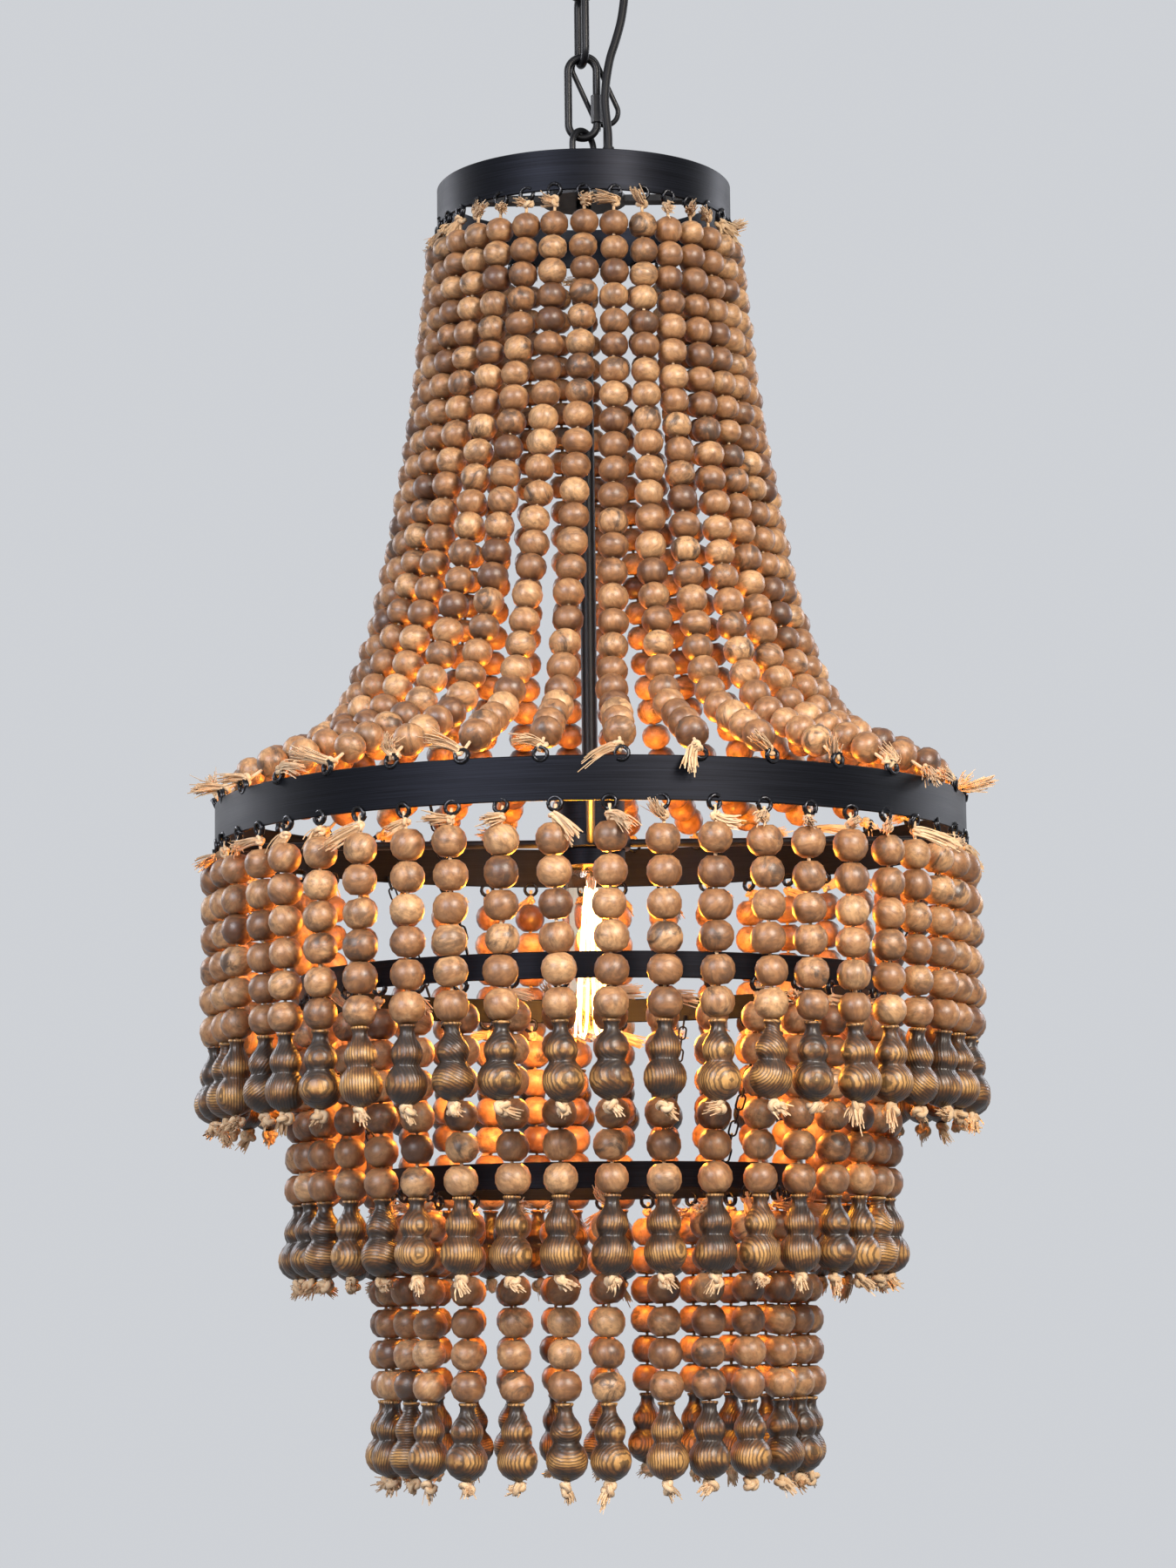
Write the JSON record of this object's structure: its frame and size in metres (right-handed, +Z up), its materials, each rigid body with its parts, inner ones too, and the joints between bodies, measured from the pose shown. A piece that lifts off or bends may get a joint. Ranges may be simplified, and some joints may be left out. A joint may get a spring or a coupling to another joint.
{
  "type": "beaded chandelier",
  "caption": "Hanging ceiling light whose steel hoops carry curtains of turned wooden beads around one bulb, hung on links from a ceiling canopy.",
  "frame": {"origin": "middle of the ceiling bracket's face that lies on the ceiling", "axes": "+Z up out of the ceiling face along the hanging axis, -Y to the front, +X to the right"},
  "size_m": [0.47, 0.47, 1.0021],
  "materials": {
    "black_steel": "black coated steel band, fine brushed lines",
    "chain_steel": "satin black coated round wire",
    "zinc_steel": "zinc plated, satin",
    "flex_pvc": "black PVC sheath, satin",
    "porcelain": "white glazed porcelain",
    "cap_brass": "rolled brass thread",
    "clear_glass": "clear blown glass",
    "bead_wood": "unvarnished weathered wooden beads, each finial turned from darker stained wood",
    "jute": "natural jute twine, frayed",
    "finial_wood": "dark stained turned wood, light satin"
  },
  "bodies": {
    "ceiling": {"ceiling_bracket": "zinc_steel", "ceiling_canopy": "black_steel", "canopy_screw_left": "zinc_steel", "canopy_screw_right": "zinc_steel", "ceiling_loop": "chain_steel", "loop_nut": "chain_steel", "canopy_cord_grip": "flex_pvc"},
    "upper_link": {"upper_link": "chain_steel", "flex_upper": "flex_pvc", "flex_lower": "flex_pvc"},
    "lamp_frame": {"lower_link": "chain_steel", "screw_link": "chain_steel", "guide_link": "chain_steel", "safety_tether": "chain_steel", "top_eye": "chain_steel", "cord_gland": "flex_pvc", "top_hoop": "black_steel", "hub_cross": "black_steel", "central_rod": "black_steel", "middle_hoop": "black_steel", "lamp_arms": "black_steel", "lamp_holder": "black_steel", "holder_insert": "porcelain", "upper_strands_1": "bead_wood", "upper_strands_2": "bead_wood", "upper_strands_3": "bead_wood", "upper_strands_4": "bead_wood"},
    "screw_link_sleeve": {"screw_link_sleeve": "chain_steel"},
    "bulb": {"bulb_cap": "cap_brass", "bulb_glass": "clear_glass"},
    "second_hoop": {"second_hoop": "black_steel"},
    "third_hoop": {"third_hoop": "black_steel"},
    "second_chain_1": {"second_chain_1": "chain_steel"},
    "second_chain_2": {"second_chain_2": "chain_steel"},
    "second_chain_3": {"second_chain_3": "chain_steel"},
    "third_chain_1": {"third_chain_1": "chain_steel"},
    "third_chain_2": {"third_chain_2": "chain_steel"},
    "third_chain_3": {"third_chain_3": "chain_steel"},
    "outer_skirt_1": {"outer_skirt_1": "bead_wood"},
    "outer_skirt_2": {"outer_skirt_2": "bead_wood"},
    "outer_skirt_3": {"outer_skirt_3": "bead_wood"},
    "outer_skirt_4": {"outer_skirt_4": "bead_wood"},
    "outer_skirt_5": {"outer_skirt_5": "bead_wood"},
    "outer_skirt_6": {"outer_skirt_6": "bead_wood"},
    "outer_skirt_7": {"outer_skirt_7": "bead_wood"},
    "outer_skirt_8": {"outer_skirt_8": "bead_wood"},
    "second_skirt_1": {"second_skirt_1": "bead_wood"},
    "second_skirt_2": {"second_skirt_2": "bead_wood"},
    "second_skirt_3": {"second_skirt_3": "bead_wood"},
    "second_skirt_4": {"second_skirt_4": "bead_wood"},
    "second_skirt_5": {"second_skirt_5": "bead_wood"},
    "second_skirt_6": {"second_skirt_6": "bead_wood"},
    "second_skirt_7": {"second_skirt_7": "bead_wood"},
    "second_skirt_8": {"second_skirt_8": "bead_wood"},
    "third_skirt_1": {"third_skirt_1": "bead_wood"},
    "third_skirt_2": {"third_skirt_2": "bead_wood"},
    "third_skirt_3": {"third_skirt_3": "bead_wood"},
    "third_skirt_4": {"third_skirt_4": "bead_wood"},
    "third_skirt_5": {"third_skirt_5": "bead_wood"},
    "third_skirt_6": {"third_skirt_6": "bead_wood"}
  },
  "joints": [
    {"name": "upper_link_swing", "type": "hinge", "parent": "ceiling", "child": "upper_link", "pos_m": [0, 0, -0.0502], "axis": [0, 1, 0], "range_deg": [-12, 12], "deforming": ["flex_upper"]},
    {"name": "lamp_swing", "type": "hinge", "parent": "upper_link", "child": "lamp_frame", "pos_m": [0, 0, -0.0927], "axis": [1, 0, 0], "range_deg": [-12, 12], "deforming": ["flex_lower"]},
    {"name": "screw_link_sleeve_lift", "type": "slide", "parent": "lamp_frame", "child": "screw_link_sleeve", "axis": [0, 0, 1], "range_m": [0, 0.01]},
    {"name": "bulb_unscrew", "type": "slide", "parent": "lamp_frame", "child": "bulb", "axis": [0, 0, -1], "range_m": [0, 0.025]},
    {"name": "second_hoop_sway", "type": "hinge", "parent": "lamp_frame", "child": "second_hoop", "pos_m": [0, 0, -0.99479], "axis": [0, 1, 0], "range_deg": [-2, 2], "stiffness_Nm_per_rad": 40},
    {"name": "second_chain_1_swing", "type": "hinge", "parent": "lamp_frame", "child": "second_chain_1", "pos_m": [-0.08845, -0.20245, -0.6185], "axis": [0, 1, 0], "range_deg": [-8, 8]},
    {"name": "second_chain_2_swing", "type": "hinge", "parent": "lamp_frame", "child": "second_chain_2", "pos_m": [0.21954, 0.02463, -0.6185], "axis": [0, 1, 0], "range_deg": [-8, 8]},
    {"name": "second_chain_3_swing", "type": "hinge", "parent": "lamp_frame", "child": "second_chain_3", "pos_m": [-0.1311, 0.17782, -0.6185], "axis": [0, 1, 0], "range_deg": [-8, 8]},
    {"name": "third_hoop_sway", "type": "hinge", "parent": "second_hoop", "child": "third_hoop", "pos_m": [0, 0, -1.08066], "axis": [0, 1, 0], "range_deg": [-2.5, 2.5], "stiffness_Nm_per_rad": 10},
    {"name": "third_chain_1_swing", "type": "hinge", "parent": "second_hoop", "child": "third_chain_1", "pos_m": [0.10235, -0.13702, -0.7113], "axis": [0, 1, 0], "range_deg": [-7, 7]},
    {"name": "third_chain_2_swing", "type": "hinge", "parent": "second_hoop", "child": "third_chain_2", "pos_m": [0.05873, 0.16063, -0.7113], "axis": [0, 1, 0], "range_deg": [-7, 7]},
    {"name": "third_chain_3_swing", "type": "hinge", "parent": "second_hoop", "child": "third_chain_3", "pos_m": [-0.17069, -0.01074, -0.7113], "axis": [0, 1, 0], "range_deg": [-7, 7]},
    {"name": "outer_skirt_1_swing", "type": "hinge", "parent": "lamp_frame", "child": "outer_skirt_1", "pos_m": [0.07974, -0.20347, -0.6215], "axis": [-0.9311, -0.3649, 0], "range_deg": [0, 7]},
    {"name": "outer_skirt_2_swing", "type": "hinge", "parent": "lamp_frame", "child": "outer_skirt_2", "pos_m": [0.20026, -0.08749, -0.6215], "axis": [-0.4003, -0.9164, 0], "range_deg": [0, 7]},
    {"name": "outer_skirt_3_swing", "type": "hinge", "parent": "lamp_frame", "child": "outer_skirt_3", "pos_m": [0.20347, 0.07974, -0.6215], "axis": [0.3649, -0.9311, 0], "range_deg": [0, 7]},
    {"name": "outer_skirt_4_swing", "type": "hinge", "parent": "lamp_frame", "child": "outer_skirt_4", "pos_m": [0.08749, 0.20026, -0.6215], "axis": [0.9164, -0.4003, 0], "range_deg": [0, 7]},
    {"name": "outer_skirt_5_swing", "type": "hinge", "parent": "lamp_frame", "child": "outer_skirt_5", "pos_m": [-0.07974, 0.20347, -0.6215], "axis": [0.9311, 0.3649, 0], "range_deg": [0, 7]},
    {"name": "outer_skirt_6_swing", "type": "hinge", "parent": "lamp_frame", "child": "outer_skirt_6", "pos_m": [-0.20026, 0.08749, -0.6215], "axis": [0.4003, 0.9164, 0], "range_deg": [0, 7]},
    {"name": "outer_skirt_7_swing", "type": "hinge", "parent": "lamp_frame", "child": "outer_skirt_7", "pos_m": [-0.20347, -0.07974, -0.6215], "axis": [-0.3649, 0.9311, 0], "range_deg": [0, 7]},
    {"name": "outer_skirt_8_swing", "type": "hinge", "parent": "lamp_frame", "child": "outer_skirt_8", "pos_m": [-0.08749, -0.20026, -0.6215], "axis": [-0.9164, 0.4003, 0], "range_deg": [0, 7]},
    {"name": "second_skirt_1_swing", "type": "hinge", "parent": "second_hoop", "child": "second_skirt_1", "pos_m": [0.06495, -0.15643, -0.7143], "axis": [-0.9236, -0.3834, 0], "range_deg": [0, 7]},
    {"name": "second_skirt_2_swing", "type": "hinge", "parent": "second_hoop", "child": "second_skirt_2", "pos_m": [0.15908, -0.05816, -0.7143], "axis": [-0.3434, -0.9392, 0], "range_deg": [0, 7]},
    {"name": "second_skirt_3_swing", "type": "hinge", "parent": "second_hoop", "child": "second_skirt_3", "pos_m": [0.15053, 0.07764, -0.7143], "axis": [0.4584, -0.8887, 0], "range_deg": [0, 7]},
    {"name": "second_skirt_4_swing", "type": "hinge", "parent": "second_hoop", "child": "second_skirt_4", "pos_m": [0.05877, 0.16073, -0.7143], "axis": [0.9392, -0.3434, 0], "range_deg": [0, 7]},
    {"name": "second_skirt_5_swing", "type": "hinge", "parent": "second_hoop", "child": "second_skirt_5", "pos_m": [-0.06495, 0.15643, -0.7143], "axis": [0.9236, 0.3834, 0], "range_deg": [0, 7]},
    {"name": "second_skirt_6_swing", "type": "hinge", "parent": "second_hoop", "child": "second_skirt_6", "pos_m": [-0.15908, 0.05816, -0.7143], "axis": [0.3434, 0.9392, 0], "range_deg": [0, 7]},
    {"name": "second_skirt_7_swing", "type": "hinge", "parent": "second_hoop", "child": "second_skirt_7", "pos_m": [-0.15053, -0.07764, -0.7143], "axis": [-0.4584, 0.8887, 0], "range_deg": [0, 7]},
    {"name": "second_skirt_8_swing", "type": "hinge", "parent": "second_hoop", "child": "second_skirt_8", "pos_m": [-0.05877, -0.16073, -0.7143], "axis": [-0.9392, 0.3434, 0], "range_deg": [0, 7]},
    {"name": "third_skirt_1_swing", "type": "hinge", "parent": "third_hoop", "child": "third_skirt_1", "pos_m": [0.06045, -0.10074, -0.8287], "axis": [-0.8575, -0.5145, 0], "range_deg": [0, 7]},
    {"name": "third_skirt_2_swing", "type": "hinge", "parent": "third_hoop", "child": "third_skirt_2", "pos_m": [0.11992, 0.00202, -0.8287], "axis": [0.0169, -0.9999, 0], "range_deg": [0, 7]},
    {"name": "third_skirt_3_swing", "type": "hinge", "parent": "third_hoop", "child": "third_skirt_3", "pos_m": [0.05702, 0.10272, -0.8287], "axis": [0.8743, -0.4853, 0], "range_deg": [0, 7]},
    {"name": "third_skirt_4_swing", "type": "hinge", "parent": "third_hoop", "child": "third_skirt_4", "pos_m": [-0.06171, 0.10284, -0.8287], "axis": [0.8575, 0.5145, 0], "range_deg": [0, 7]},
    {"name": "third_skirt_5_swing", "type": "hinge", "parent": "third_hoop", "child": "third_skirt_5", "pos_m": [-0.11746, -0.00198, -0.8287], "axis": [-0.0169, 0.9999, 0], "range_deg": [0, 7]},
    {"name": "third_skirt_6_swing", "type": "hinge", "parent": "third_hoop", "child": "third_skirt_6", "pos_m": [-0.05821, -0.10487, -0.8287], "axis": [-0.8743, 0.4853, 0], "range_deg": [0, 7]}
  ],
  "couplings": [
    {"joint": "second_chain_1_swing", "follows": "second_hoop_sway", "ratio": -3.7183},
    {"joint": "second_chain_2_swing", "follows": "second_hoop_sway", "ratio": -3.7183},
    {"joint": "second_chain_3_swing", "follows": "second_hoop_sway", "ratio": -3.7183},
    {"joint": "third_chain_1_swing", "follows": "third_hoop_sway", "ratio": -2.6444},
    {"joint": "third_chain_2_swing", "follows": "third_hoop_sway", "ratio": -2.6444},
    {"joint": "third_chain_3_swing", "follows": "third_hoop_sway", "ratio": -2.6444}
  ]
}
